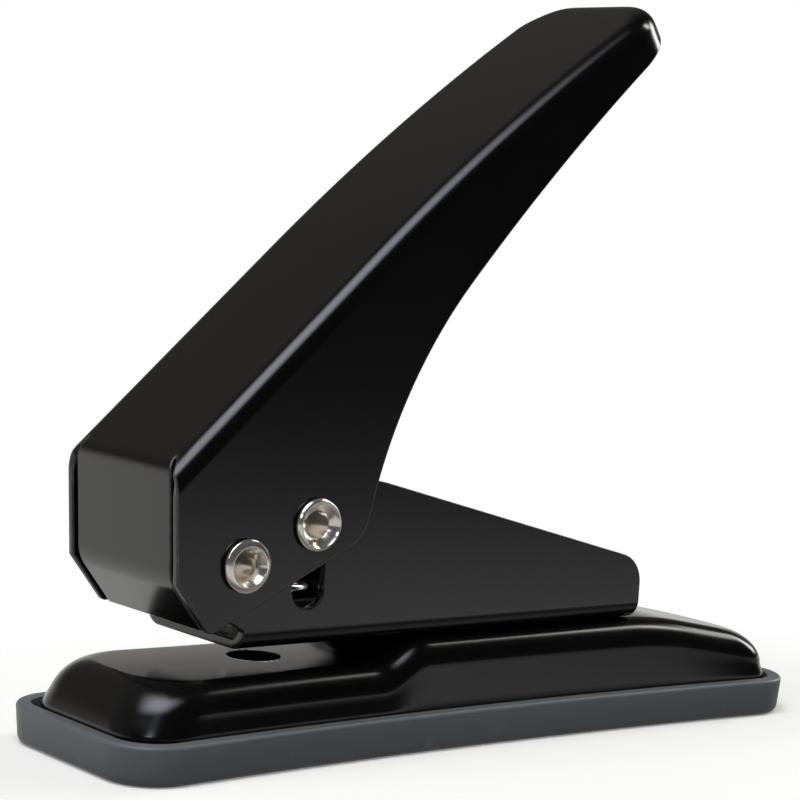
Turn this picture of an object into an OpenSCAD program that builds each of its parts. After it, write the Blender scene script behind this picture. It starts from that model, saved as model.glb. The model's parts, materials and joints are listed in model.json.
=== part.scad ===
// Single hole punch: a pressed lever on a channel frame, over a domed base that stands in a chip tray.
// Millimetres. +X runs to the rear, Z is up, the origin is the middle of the tray's underside.

/* [Base] */
// Length of the chip tray
tray_len = 105; // [100:0.5:112]
// Width of the chip tray at its ends
tray_w = 30.6; // [29:0.1:34]
// Height of the chip tray's rim
tray_h = 4.8; // [4:0.1:6]
// Thickness of the tray's rim
tray_wall = 1.8; // [1.2:0.1:2.4]
// Thickness of the tray's floor
tray_floor = 1.2; // [0.8:0.1:2]
// Corner radius of the tray in plan
tray_corner_r = 6.5; // [5:0.1:8]
// How far each long side is drawn in at its middle
waist = 1.9; // [0:0.1:2.4]
// Thickness of the base plate's sheet
base_t = 1; // [0.8:0.05:1.4]
// Height of the front deck
deck_h = 10.6; // [10:0.1:13]
// Height of the paper throat, from the front deck up to the frame
throat = 2.9; // [2:0.1:4]
// Radius of the dome's upper edge
deck_edge_r = 3.6; // [3:0.1:4.4]
// Radius of the dome's front corners in plan
dome_front_r = 7.2; // [6:0.1:7.6]
// Radius of the dome's rear corners in plan
dome_rear_r = 5.4; // [5:0.1:6.4]
// How far the dome's skirt leans in
skirt_lean = 0.4; // [0.2:0.1:1.4]
// How far the front end leans in on its way up to the deck
front_end_lean = 2; // [1.4:0.1:2.6]
// How far the front end bows in on its way up to the deck
front_end_bow = 2.4; // [2:0.1:3]
// Length of the sloping step between the decks
step_run = 7; // [5:0.5:9]
// Angle at which the rear deck falls behind the frame
rear_fall = 10.75; // [6:0.25:12]

/* [Punch] */
// Distance from the tray's front edge to the punch axis
die_setback = 25.9; // [24:0.1:28]
// Diameter of the punch, for a quarter inch hole
punch_d = 6.35; // [5.5:0.05:6.6]
// Diameter of the punch head
head_d = 9; // [8.6:0.1:9.2]
// Height of the punch head above the drive rivet's axis
head_above = 4.2; // [3.5:0.1:6]
// Height of the punch head below the drive rivet's axis
head_below = 4.6; // [4.2:0.1:5]
// Distance from the punch axis to the foot of the step that stops the paper
paper_depth = 11.4; // [10:0.1:13]
// Depth of the hollow across the punch's cutting face
hollow_depth = 0.5; // [0.45:0.05:0.8]
// Radius of the hollow across the punch's cutting face
hollow_r = 12.5; // [12:0.5:16]
// Length of the die plate's sides
die_side = 12; // [10:0.5:14]
// Thickness of the die plate
die_t = 2; // [1.5:0.1:3]
// Thickness of the guide bush's wall
bush_wall = 1; // [0.8:0.05:1.2]
// Width of the guide bush's flange
bush_flange_w = 0.5; // [0.3:0.05:0.6]
// Thickness of the guide bush's flange
bush_flange_t = 0.8; // [0.5:0.1:1.2]

/* [Frame] */
// Width over the frame's cheeks
frame_w = 20.4; // [19:0.1:21]
// Thickness of the frame's sheet
frame_t = 1.2; // [1:0.05:1.5]
// Outer bend radius between the web and the cheeks
frame_bend_r = 3; // [2:0.1:3.5]
// Distance from the punch axis forward to the web's front edge
web_reach = 8.8; // [7.5:0.1:10]
// Distance from the punch axis back to the frame's rear edge
frame_reach = 53; // [50:0.1:55]
// Height of the cheeks at the rear edge
cheek_rear_h = 7.7; // [7:0.1:9]
// Fall of the cheeks' top edge towards the rear
cheek_fall = 14.85; // [13:0.05:16]
// Distance from the punch axis back to where the cheeks' top edge begins to fall
cheek_level = 9.5; // [8:0.1:11]
// Radius of the cheeks' top edge where it begins to fall
cheek_brow_r = 12; // [6:0.5:16]
// Radius of the cheeks' upper rear corner
cheek_corner_r = 4; // [2:0.1:5]
// Radius of the cheeks round the pivot
cheek_eye_r = 6.2; // [5.5:0.1:6.4]
// How far the slot's lower end lies under the drive rivet at rest
slot_drop = 7.8; // [7.2:0.1:8]
// Distance from the punch axis to the first frame rivet
frame_rivet_first = 24; // [22:0.5:28]
// Distance between the frame rivets
frame_rivet_pitch = 20; // [16:0.5:22]
// Diameter of the frame rivets
frame_rivet_d = 4; // [3:0.1:4.4]
// Diameter of the frame rivets' heads
frame_rivet_head_d = 7; // [6:0.1:8]
// Height of the frame rivets' heads
frame_rivet_head_h = 1.5; // [1:0.1:2]

/* [Lever] */
// Thickness of the lever's sheet
lever_t = 1; // [0.8:0.05:1.2]
// Rise of the lever's top at rest
lever_rise = 42.4; // [40:0.2:44]
// Length of the straight front part of the top
top_straight = 35.7; // [32:0.1:40]
// Length of the bowed part of the top
handle_len = 55.3; // [50:0.1:60]
// Radius of the bowed part of the top
handle_bow_r = 330; // [280:5:500]
// Distance from the pivot forward to the lever's upper front corner
front_reach = 9.85; // [9.5:0.05:11]
// Height of the upper front corner above the pivot
front_rise = 11.1; // [10:0.1:12]
// How far the front leans in towards its foot
front_lean = 0.85; // [0:0.05:1]
// How far the foot of the front edge lies below the pivot
foot_drop = 1.85; // [1:0.05:2.5]
// Distance from the pivot forward to the walls' lowest corner
toe_reach = 4.3; // [3:0.1:5]
// How far the walls' lowest corner lies below the pivot
toe_drop = 7.8; // [7:0.1:8]
// Rise of the walls' lower edge
belly_rise = 25.6; // [24:0.2:28]
// Radius of the walls' lower rear corner
nose_r = 5; // [3:0.1:6]
// Radius of the concave neck
neck_r = 62; // [58:0.5:66]
// Angle at which the neck meets the lower rear corner
neck_angle = 79; // [75:0.5:82]
// Distance along the bowed top to where the neck begins
neck_start = 9.4; // [8:0.1:12]
// Depth of the walls where the neck begins
neck_depth = 11.5; // [10:0.1:12]
// Depth of the walls at the tip
tip_depth = 4.5; // [4.2:0.1:6]
// Radius of the tip's corners seen from above
tip_r = 8; // [4:0.5:9]
// Radius of the bends at the top's two ends
end_bend_r = 3; // [1.5:0.1:3.4]
// Length of the front flap's turned-in tail
flap_tail = 7.2; // [2:0.1:7.4]
// Width of the seam between the front flap and the walls
flap_seam = 0.4; // [0.2:0.05:0.8]

/* [Rivets] */
// Height of the pivot above the frame's underside
pivot_h = 10.3; // [9.8:0.1:11]
// Distance from the pivot back to the drive rivet at rest
drive_back = 9.65; // [9.2:0.05:10]
// Height of the drive rivet above the pivot at rest
drive_up = 4.3; // [4:0.1:4.6]
// Diameter of the rivets' shanks
rivet_d = 3.4; // [3:0.1:3.8]
// Diameter of the rivets' heads
rivet_head_d = 6.2; // [5.6:0.1:6.6]
// Height of the rivets' heads
rivet_head_h = 1; // [0.8:0.1:1.4]
// Diameter of the rivets' funnel mouths
rivet_mouth_d = 4; // [3.4:0.1:4.2]
// Diameter of the rivets' hollow ends
rivet_bore_d = 2.4; // [1.6:0.1:2.5]
// Depth of the rivets' hollow ends
rivet_bore_depth = 5; // [3:0.5:8]
// Thickness of the pivot sleeve's wall
sleeve_wall = 0.9; // [0.6:0.1:1.2]

/* [Spring] */
// Diameter of the spring's wire
wire_d = 0.8; // [0.6:0.05:0.9]
// Number of curls in the spring
spring_turns = 3; // [3:0.25:4]
// Angle round the punch at which the spring's lower end starts
spring_start = 72; // [0:2:358]
// Thickness of the spring clip
clip_t = 0.8; // [0.5:0.1:0.9]
// Depth of the groove that holds the spring clip
clip_groove = 0.5; // [0.3:0.05:0.7]
// Solid land left between the clip's groove and the cross hole
clip_land = 0.4; // [0.2:0.1:0.6]

/* [Fits] */
// Side gap between the lever and the frame
side_gap = 0.5; // [0.3:0.05:0.8]
// Radial clearance of a turning or sliding fit
running_fit = 0.05; // [0.02:0.01:0.1]
// Play of the drive rivet in the punch's cross hole and the cheek slots
pin_play = 0.1; // [0.08:0.01:0.15]
// Clearance between the base plate and the chip tray
tray_fit = 0.15; // [0.1:0.01:0.3]
// End gap beside turning heads and sleeves
end_gap = 0.08; // [0.05:0.01:0.1]
// Gap between the spring and what it turns round or presses on
spring_gap = 0.3; // [0.2:0.05:0.4]

/* [Hidden] */
$fn = 64;
// Points on a rounded corner of an outline
corner_steps = 8;
// Overlap that lets a cut pass through a face
cut = 1;
// Reach of the cuts and bounds that are larger than the part
far = 250;

paint = [0.11, 0.105, 0.10];
nickel = [0.80, 0.78, 0.73];
steel = [0.62, 0.63, 0.65];
tray_grey = [0.33, 0.35, 0.36];

// Heights and places along the length
rear_deck = deck_h + throat;
web_top = rear_deck + frame_t;
punch_x = die_setback - tray_len / 2;
step_x = punch_x + paper_depth;
web_front = punch_x - web_reach;
frame_rear = punch_x + frame_reach;
fall_x = frame_rear + cheek_corner_r;

// The drive rivet swings about the pivot; the punch axis is the middle of its swing
drive_arm = norm([drive_back, drive_up]);
swing_drift = drive_arm - drive_back;
pivot_x = punch_x - (drive_back + drive_arm) / 2;
pivot_z = rear_deck + pivot_h;
drive_x = pivot_x + drive_back;
drive_z = pivot_z + drive_up;
slot_r = (rivet_d + swing_drift) / 2 + pin_play;

// Widths across the punch
cheek_in = frame_w - 2 * frame_t;
lever_in = frame_w + 2 * side_gap;
lever_w = lever_in + 2 * lever_t;

// Heights of the punch, its clip and its spring
head_low = drive_z - head_below;
head_top = drive_z + head_above;
clip_top = drive_z - rivet_d / 2 - pin_play - clip_land;
clip_low = clip_top - clip_t;
punch_tip = rear_deck + end_gap;
bush_d = punch_d + 2 * (running_fit + bush_wall);
spring_in = max(head_d, bush_d + 2 * bush_flange_w) + 2 * spring_gap;
// Rings of the spring's wire to a curl, and the radius that keeps the flats between them clear of the bush
curl_rings = 8;
spring_r = (spring_in + wire_d) / 2 / cos(180 / curl_rings);
clip_d = 2 * spring_r + wire_d;
spring_low = web_top + wire_d / 2 + end_gap;
spring_high = clip_low - wire_d / 2 - end_gap;

// Outline helpers

function unit(v) = v / norm(v);
function turned(a) = [cos(a), sin(a)];

// Where the line through p along u crosses the line through q along v
function crossing(p, u, q, v) =
    let (d = q - p)
    p + u * (d.x * v.y - d.y * v.x) / (u.x * v.y - u.y * v.x);

// Arc that rounds the corner at b between a and c
function rounded(a, b, c, r) =
    let (
        u = unit(a - b),
        v = unit(c - b),
        half = acos(u * v) / 2,
        reach = r / tan(half),
        middle = b + unit(u + v) * r / sin(half),
        start = b + u * reach - middle,
        finish = b + v * reach - middle,
        from = atan2(start.y, start.x),
        sweep = atan2(start.x * finish.y - start.y * finish.x, start * finish)
    )
    [for (k = [0 : corner_steps]) middle + r * turned(from + sweep * k / corner_steps)];

// Plate in the XZ plane, w wide across the punch and centred on it
module upright(w) {
    translate([0, w / 2, 0]) rotate([90, 0, 0]) linear_extrude(w) children();
}

// Rod across the punch
module cross_rod(d, w, x, z) {
    translate([x, 0, z]) rotate([90, 0, 0]) cylinder(d = d, h = w, center = true);
}

// Long hole across the punch between two places of the same rod
module cross_slot(r, w, x1, z1, x2, z2) {
    cross_rod(2 * r, w, x1, z1);
    cross_rod(2 * r, w, x2, z2);
    along_x = abs(x2 - x1);
    along_z = abs(z2 - z1);
    translate([(x1 + x2) / 2, 0, (z1 + z2) / 2])
        cube([along_x > 0 ? along_x : 2 * r, w, along_z > 0 ? along_z : 2 * r], center = true);
}

// Plan of the tray and the dome

side_steps = 5;

// Line of a side, inset from the tray's edge and drawn in by the waist between the tray's corners
waist_end = tray_len / 2 - tray_corner_r;
function side_y(x, inset) = tray_w / 2 - inset - waist * (1 - pow(x / waist_end, 2));

// Places along a side, closer together on the step
function stretch(a, b, n) = [for (k = [0 : n - 1]) a + (b - a) * k / n];
function side_places(front, rear) =
    concat(stretch(-front, step_x, side_steps), stretch(step_x, step_x + step_run, side_steps),
           stretch(step_x + step_run, fall_x, side_steps), stretch(fall_x, rear, side_steps));

// One side of the plan from the front to the rear, inset from the tray's edge, with round corners
// and its front end set further back
function plan_side(inset, front_r, rear_r, set_back) =
    let (
        rear = tray_len / 2 - inset - rear_r,
        front = tray_len / 2 - inset - set_back - front_r,
        front_centre = [-front, side_y(front, inset) - front_r],
        rear_centre = [rear, side_y(rear, inset) - rear_r],
        quarter = 90 / side_steps
    )
    concat(
        [for (k = [0 : side_steps - 1]) front_centre + front_r * turned(180 - quarter * k)],
        [for (x = side_places(front, rear)) [x, side_y(x, inset)]],
        [for (k = [0 : side_steps]) rear_centre + rear_r * turned(90 - quarter * k)]
    );
function mirrored(points) = [for (k = [len(points) - 1 : -1 : 0]) [points[k].x, -points[k].y]];
function plan(inset, front_r, rear_r, set_back = 0) =
    let (side = plan_side(inset, front_r, rear_r, set_back))
    concat(side, mirrored(side));

// Height of the decks along the length
function eased(u) = u <= 0 ? 0 : u >= 1 ? 1 : (1 - cos(180 * u)) / 2;
function deck_z(x) =
    deck_h + throat * eased((x - step_x) / step_run) - max(0, x - fall_x) * tan(rear_fall);

// Pressed dome: rings of the plan, outer skin first and then the inner skin from the top down
skirt_inset = tray_wall + tray_fit;
skirt_low = tray_floor + end_gap;
edge_steps = 6;
// Least height of the skirt between the tray's rim and the rounded edge
least_skirt = 0.1;

// Height of the rounded edge, less where the deck falls low over the tray's rim
function edge_h(x) = min(deck_edge_r, deck_z(x) - tray_h - least_skirt);
// Ring of the skirt at a height, t inside the outer skin
function skirt_ring(z, t) =
    [for (p = plan(skirt_inset + t, dome_front_r - t, dome_rear_r - t)) [p.x, p.y, z]];
// How far the front end lies behind the skirt's foot at a height
function front_inset(z) =
    let (u = (z - tray_h) / (deck_h - tray_h))
    front_end_lean * u + front_end_bow * (1 - sqrt(max(0, 1 - u * u)));
// Ring of the rounded edge, t inside the outer skin
function edge_ring(k, t) =
    let (
        a = 90 * k / edge_steps,
        outer_lean = skirt_lean + deck_edge_r * (1 - cos(a)),
        set_back = front_inset(deck_h - deck_edge_r * (1 - sin(a))) - outer_lean
    )
    [for (p = plan(skirt_inset + outer_lean + t * cos(a), dome_front_r - t, dome_rear_r - t, set_back))
        [p.x, p.y, deck_z(p.x) - t - (edge_h(p.x) - t) * (1 - sin(a))]];
function skin(t) =
    concat([skirt_ring(skirt_low, t), skirt_ring(tray_h, t)], [for (k = [0 : edge_steps]) edge_ring(k, t)]);
function reversed(list) = [for (k = [len(list) - 1 : -1 : 0]) list[k]];

module dome() {
    rings = concat(skin(0), reversed(skin(base_t)));
    n = len(rings[0]);
    top = edge_steps + 2;
    last = len(rings) - 1;
    bands = [for (r = [0 : last]) if (r != top) [r, r == last ? 0 : r + 1]];
    walls = [for (b = bands, k = [0 : n - 1]) [b[0] * n + k, b[1] * n + k, b[1] * n + (k + 1) % n,
                                               b[0] * n + (k + 1) % n]];
    strips = [for (r = [top, top + 1], k = [0 : n / 2 - 2])
        let (i = r * n + k, j = r * n + n - 1 - k)
        r == top ? [i, j, j - 1, i + 1] : [i, i + 1, j - 1, j]];
    quads = concat(walls, strips);
    polyhedron(
        points = [for (ring = rings, p = ring) p],
        faces = [for (q = quads, half = [[0, 1, 2], [0, 2, 3]]) [for (m = half) q[m]]]
    );
}

// Base

module chip_tray() {
    color(tray_grey) difference() {
        linear_extrude(tray_h) polygon(plan(0, tray_corner_r, tray_corner_r));
        translate([0, 0, tray_floor]) linear_extrude(tray_h)
            polygon(plan(tray_wall, tray_corner_r - tray_wall, tray_corner_r - tray_wall));
    }
}

module base_plate() {
    color(paint) difference() {
        dome();
        translate([punch_x, 0, deck_h - base_t - cut])
            cylinder(d = punch_d + 2 * pin_play, h = base_t + 2 * cut);
        frame_rivet_places() translate([0, 0, rear_deck - base_t - cut])
            cylinder(d = frame_rivet_d, h = base_t + 2 * cut);
    }
}

module die_plate() {
    color(steel) translate([punch_x, 0, deck_h - base_t - die_t]) difference() {
        translate([-die_side / 2, -die_side / 2, 0]) cube([die_side, die_side, die_t]);
        translate([0, 0, -cut]) cylinder(d = punch_d + 2 * running_fit, h = die_t + 2 * cut);
    }
}

// Frame

module frame_section() {
    inner_r = frame_bend_r - frame_t;
    difference() {
        rounded_channel(frame_w, frame_bend_r, 0);
        rounded_channel(cheek_in, inner_r, frame_t);
    }
}

// Channel cross-section with rounded lower corners, open upwards
module rounded_channel(w, r, low) {
    translate([-w / 2 + r, low]) square([w - 2 * r, far]);
    translate([-w / 2, low + r]) square([w, far]);
    for (side = [-1, 1]) translate([side * (w / 2 - r), low + r]) circle(r);
}

module cheek_outline() {
    eye = [pivot_x, pivot_z];
    front_low = [web_front, rear_deck];
    rear_low = [frame_rear, rear_deck];
    rear_top = [frame_rear, rear_deck + cheek_rear_h];
    brow_x = punch_x + cheek_level;
    brow = [brow_x, rear_top.y + (frame_rear - brow_x) * tan(cheek_fall)];
    front_top = [punch_x - slot_r - frame_t, brow.y];
    eye_top = eye + [0, cheek_eye_r];
    to_eye = eye - front_low;
    tangent_angle = atan2(-to_eye.y, -to_eye.x) - acos(cheek_eye_r / norm(to_eye));
    eye_front = eye + cheek_eye_r * turned(tangent_angle);
    translate(eye) circle(cheek_eye_r);
    polygon(concat(
        [front_low, rear_low],
        rounded(rear_low, rear_top, brow, cheek_corner_r),
        rounded(rear_top, brow, front_top, cheek_brow_r),
        rounded(brow, front_top, eye_top, frame_bend_r),
        [eye_top, eye, eye_front]
    ));
}

module frame() {
    length = frame_rear - pivot_x + cheek_eye_r;
    color(paint) difference() {
        intersection() {
            translate([pivot_x - cheek_eye_r, 0, rear_deck]) rotate([90, 0, 90])
                linear_extrude(length) frame_section();
            upright(frame_w) cheek_outline();
        }
        cross_rod(rivet_d, frame_w + cut, pivot_x, pivot_z);
        cross_slot(slot_r, frame_w + cut, punch_x, drive_z, punch_x, drive_z - slot_drop);
        translate([punch_x, 0, rear_deck - cut]) cylinder(d = bush_d, h = frame_t + 2 * cut);
        frame_rivet_places() translate([0, 0, rear_deck - cut])
            cylinder(d = frame_rivet_d, h = frame_t + 2 * cut);
    }
}

module frame_rivet_places() {
    for (k = [0, 1]) translate([punch_x + frame_rivet_first + k * frame_rivet_pitch, 0, 0]) children();
}

// Low round head, its flat side on z = 0
module round_head(d, h) {
    ball_r = (d * d / 4 + h * h) / (2 * h);
    intersection() {
        translate([0, 0, h - ball_r]) sphere(ball_r);
        cylinder(d = d, h = h);
    }
}

module frame_rivets() {
    under = rear_deck - base_t;
    color(steel) frame_rivet_places() {
        translate([0, 0, under]) cylinder(d = frame_rivet_d, h = base_t + frame_t);
        translate([0, 0, web_top]) round_head(frame_rivet_head_d, frame_rivet_head_h);
        translate([0, 0, under]) mirror([0, 0, 1]) round_head(frame_rivet_head_d, frame_rivet_head_h);
    }
}

module guide_bush() {
    color(steel) translate([punch_x, 0, 0]) difference() {
        union() {
            translate([0, 0, rear_deck]) cylinder(d = bush_d, h = frame_t);
            translate([0, 0, web_top]) cylinder(d = bush_d + 2 * bush_flange_w, h = bush_flange_t);
        }
        translate([0, 0, rear_deck - cut])
            cylinder(d = punch_d + 2 * running_fit, h = frame_t + bush_flange_t + 2 * cut);
    }
}

// Half-hollow rivet along -Y: a round head at the far end and a rolled funnel, twice as deep as it flares,
// at the near end
module hollow_rivet(grip) {
    shank_r = rivet_d / 2;
    head_r = rivet_head_d / 2;
    mouth_r = rivet_mouth_d / 2;
    bore_r = rivet_bore_d / 2;
    roll_r = rivet_head_h / 2;
    near = grip / 2;
    end = near + rivet_head_h;
    flare_end = end - 2 * (mouth_r - bore_r);
    bore_end = end - rivet_bore_depth;
    roll = [for (k = [0 : corner_steps]) [head_r - roll_r, near + roll_r]
        + roll_r * turned(-90 + 180 * k / corner_steps)];
    rotate([90, 0, 0]) rotate_extrude() polygon(concat(
        [[0, -near], [shank_r, -near], [shank_r, near]], roll,
        [[mouth_r, end], [bore_r, flare_end], [bore_r, bore_end], [0, bore_end]]));
    translate([0, near, 0]) rotate([-90, 0, 0]) round_head(rivet_head_d, rivet_head_h);
}

module pivot_rivet() {
    color(nickel) translate([pivot_x, 0, pivot_z]) hollow_rivet(lever_w + 2 * end_gap);
}

module pivot_sleeve() {
    color(steel) difference() {
        cross_rod(rivet_d + 2 * sleeve_wall, cheek_in - 2 * end_gap, pivot_x, pivot_z);
        cross_rod(rivet_d, cheek_in + cut, pivot_x, pivot_z);
    }
}

// Lever, drawn about the pivot

front_corner = [-front_reach, front_rise];
front_foot = [front_lean - front_reach, -foot_drop];
toe = [-toe_reach, -toe_drop];
bow_start = front_corner + top_straight * turned(lever_rise);
top_end = top_straight + handle_len;

// Slope of the top at a distance along it
function top_angle(s) =
    s <= top_straight ? lever_rise : lever_rise - (s - top_straight) / handle_bow_r * 180 / PI;
// Point at a distance along the top and a depth below it
function top_point(s, depth) =
    let (a = top_angle(s))
    (s <= top_straight ? front_corner + s * turned(lever_rise)
        : bow_start + handle_bow_r * [sin(lever_rise) - sin(a), cos(a) - cos(lever_rise)])
    + depth * [sin(a), -cos(a)];

// The handle's walls taper from the neck to the tip
neck_s = top_straight + neck_start;
bow_steps = 12;
function wall_depth(s) = neck_depth + (tip_depth - neck_depth) * (s - neck_s) / (top_end - neck_s);
function bow_places(from, to) = [for (k = [0 : bow_steps]) from + (to - from) * k / bow_steps];

// The neck bends on from the handle's lower edge to its own end angle
neck_top = top_point(neck_s, neck_depth);
neck_from = top_angle(neck_s) + atan((neck_depth - tip_depth) / (top_end - neck_s));
function neck_point(a) = neck_top - neck_r * [sin(a) - sin(neck_from), cos(neck_from) - cos(a)];
neck_end = neck_point(neck_angle);
nose = crossing(neck_end, turned(neck_angle), toe, turned(belly_rise));

module wall_outline() {
    tip_top = top_point(top_end, 0);
    tip_low = top_point(top_end, tip_depth);
    polygon(concat(
        rounded(front_foot, front_corner, bow_start, end_bend_r),
        [for (s = bow_places(top_straight, top_end - 2 * end_bend_r)) top_point(s, 0)],
        rounded(top_point(top_end - 2 * end_bend_r, 0), tip_top, tip_low, end_bend_r),
        [for (s = reversed(bow_places(neck_s, top_end))) top_point(s, wall_depth(s))],
        [for (k = [1 : bow_steps]) neck_point(neck_from + (neck_angle - neck_from) * k / bow_steps)],
        rounded(neck_end, nose, toe, nose_r),
        rounded(nose, toe, front_foot, lever_t),
        [front_foot]
    ));
}

// Space inside the channel: under the top, behind the front flap and before the tip's end wall
module channel_outline() {
    front_way = unit(front_corner - front_foot);
    tail_way = unit(toe - front_foot);
    front_in = lever_t * [front_way.y, -front_way.x];
    tail_in = lever_t * [-tail_way.y, tail_way.x];
    inner_corner = crossing(front_foot + front_in, front_way, top_point(0, lever_t), turned(lever_rise));
    inner_foot = crossing(front_foot + front_in, front_way, front_foot + tail_in, tail_way);
    tail_end = front_foot + flap_tail * tail_way;
    inner_end = top_end - lever_t;
    polygon(concat(
        [inner_corner],
        [for (s = bow_places(top_straight, inner_end)) top_point(s, lever_t)],
        [top_point(inner_end, front_reach + handle_len / 2), [neck_end.x + nose_r, -2 * toe_drop],
         [-front_reach, -2 * toe_drop], tail_end - 2 * tail_in, tail_end + tail_in, inner_foot]
    ));
}

// Plan of the handle with a round tip, square to the top at the tip
module tip_bound(w, r, back) {
    end = top_point(top_end, 0);
    translate([end.x, 0, end.y]) rotate([0, -top_angle(top_end), 0])
        translate([-back, 0, -far / 2]) linear_extrude(far) {
            translate([-far, -w / 2]) square([far - r, w]);
            translate([-r - cut, r - w / 2]) square([r + cut, w - 2 * r]);
            for (side = [-1, 1]) translate([-r, side * (w / 2 - r)]) circle(r);
        }
}

module lever() {
    seam_h = foot_drop + front_rise - end_bend_r + toe_drop;
    color(paint) translate([pivot_x, 0, pivot_z]) difference() {
        intersection() {
            upright(lever_w) wall_outline();
            tip_bound(lever_w, tip_r, 0);
        }
        intersection() {
            upright(lever_in) channel_outline();
            tip_bound(lever_in, tip_r - lever_t, lever_t);
        }
        for (side = [-1, 1])
            translate([-front_reach - cut, side * (lever_in - flap_seam) / 2 - flap_seam / 2, -toe_drop])
                cube([front_reach, flap_seam, seam_h - foot_drop]);
        cross_rod(rivet_d + 2 * running_fit, lever_w + cut, 0, 0);
        cross_rod(rivet_d, lever_w + cut, drive_back, drive_up);
    }
}

module drive_rivet() {
    color(nickel) translate([drive_x, 0, drive_z]) hollow_rivet(lever_w);
}

// Punch and spring

module punch() {
    color(steel) difference() {
        union() {
            translate([punch_x, 0, punch_tip]) cylinder(d = punch_d, h = head_low - punch_tip);
            translate([punch_x, 0, head_low]) cylinder(d = head_d, h = head_top - head_low);
        }
        cross_slot(rivet_d / 2 + pin_play, head_d + cut, punch_x - swing_drift / 2, drive_z,
                   punch_x + swing_drift / 2, drive_z);
        translate([punch_x, 0, clip_low]) difference() {
            cylinder(d = head_d + cut, h = clip_t);
            cylinder(d = head_d - 2 * clip_groove, h = clip_t);
        }
        cross_rod(2 * hollow_r, head_d + cut, punch_x, punch_tip - hollow_r + hollow_depth);
    }
}

module spring_clip() {
    inner_d = head_d - 2 * clip_groove;
    mouth = inner_d - 2 * clip_groove;
    color(steel) translate([punch_x, 0, clip_low]) difference() {
        cylinder(d = clip_d, h = clip_t);
        translate([0, 0, -cut]) cylinder(d = inner_d, h = clip_t + 2 * cut);
        translate([0, -mouth / 2, -cut]) cube([clip_d, mouth, clip_t + 2 * cut]);
    }
}

// The spring is one left-hand helical wire: rings of six points
wire_sides = 6;
spring_rings = round(spring_turns * curl_rings);
function curl_angle(k) = spring_start - 360 * k / curl_rings;
function helix(k) =
    let (a = curl_angle(k))
    [punch_x + spring_r * cos(a), spring_r * sin(a),
     spring_low + (spring_high - spring_low) * k / spring_rings];
function wire_ring(k) =
    let (a = curl_angle(k))
    [for (m = [0 : wire_sides - 1])
        let (b = 360 * m / wire_sides)
        helix(k) + wire_d / 2 * [cos(b) * cos(a), cos(b) * sin(a), sin(b)]];

module return_spring() {
    n = wire_sides;
    last = spring_rings * n;
    sides = [for (k = [0 : spring_rings - 1], m = [0 : n - 1])
        let (i = k * n + m, j = k * n + (m + 1) % n)
        each [[i, j + n, i + n], [i, j, j + n]]];
    first_end = [for (m = [1 : n - 2]) [0, m + 1, m]];
    last_end = [for (m = [1 : n - 2]) [last, last + m, last + m + 1]];
    color(steel) polyhedron(
        points = [for (k = [0 : spring_rings], p = wire_ring(k)) p],
        faces = concat(sides, first_end, last_end)
    );
}

// Least gap between curls: wire centres at least half a curl apart, less the wire itself
curl_gap = min([for (i = [0 : spring_rings], j = [0 : spring_rings]) if (j - i >= curl_rings / 2)
    norm(helix(j) - helix(i))]) - wire_d;
echo(str("Spring: least gap between curls ", curl_gap, " mm"));

chip_tray();
base_plate();
die_plate();
frame();
frame_rivets();
guide_bush();
pivot_rivet();
pivot_sleeve();
lever();
drive_rivet();
punch();
spring_clip();
return_spring();
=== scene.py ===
"""Looks of a single hole punch: bent-sheet lever and frame, pressed dome, moulded tray, rivets and spring."""
import json
import math

import bmesh
import bpy
from mathutils import Matrix, Vector


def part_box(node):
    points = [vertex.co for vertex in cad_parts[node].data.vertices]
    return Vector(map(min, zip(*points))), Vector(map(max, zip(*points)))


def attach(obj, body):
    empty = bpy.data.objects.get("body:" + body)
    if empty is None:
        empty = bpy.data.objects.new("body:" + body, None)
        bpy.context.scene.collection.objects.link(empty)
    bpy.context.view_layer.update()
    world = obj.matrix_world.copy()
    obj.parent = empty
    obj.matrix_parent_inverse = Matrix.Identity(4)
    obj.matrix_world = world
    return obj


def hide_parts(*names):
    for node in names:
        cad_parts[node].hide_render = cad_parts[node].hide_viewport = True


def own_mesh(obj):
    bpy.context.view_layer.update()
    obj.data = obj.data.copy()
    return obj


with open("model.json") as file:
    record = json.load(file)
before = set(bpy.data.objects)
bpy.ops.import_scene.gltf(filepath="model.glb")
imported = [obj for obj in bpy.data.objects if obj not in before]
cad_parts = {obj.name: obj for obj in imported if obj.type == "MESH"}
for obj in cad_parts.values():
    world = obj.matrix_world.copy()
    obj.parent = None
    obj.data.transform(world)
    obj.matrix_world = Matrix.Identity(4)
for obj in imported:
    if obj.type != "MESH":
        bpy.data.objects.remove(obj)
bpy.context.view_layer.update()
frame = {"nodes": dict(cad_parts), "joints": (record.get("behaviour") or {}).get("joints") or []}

MM = 0.001
MERGE = 0.002 * MM
UP = Vector((0, 0, 1))
FAR = Vector((0, 1, 0))
NEAR = Vector((0, -1, 0))


def middle(node):
    """Middle of a construction node's box."""
    low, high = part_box(node)
    return (low + high) / 2


def joint(name):
    """The named joint of the record."""
    return next(j for j in frame["joints"] if j["name"] == name)


# Places and sizes that the construction gives

tray_low, tray_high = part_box("chip_tray")
frame_low, frame_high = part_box("frame")
lever_low, lever_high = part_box("lever")
spring_low, spring_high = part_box("return_spring")
drive_low, drive_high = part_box("drive_rivet")
pivot = Vector(joint("lever_press")["pos_m"])
drive = middle("drive_rivet")
punch_axis = middle("guide_bush")

tray_len = tray_high.x - tray_low.x
tray_width = tray_high.y - tray_low.y
tray_rim = tray_high.z
rear_deck = frame_low.z
frame_width = frame_high.y - frame_low.y
lever_width = lever_high.y - lever_low.y

# Tray and dome

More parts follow.
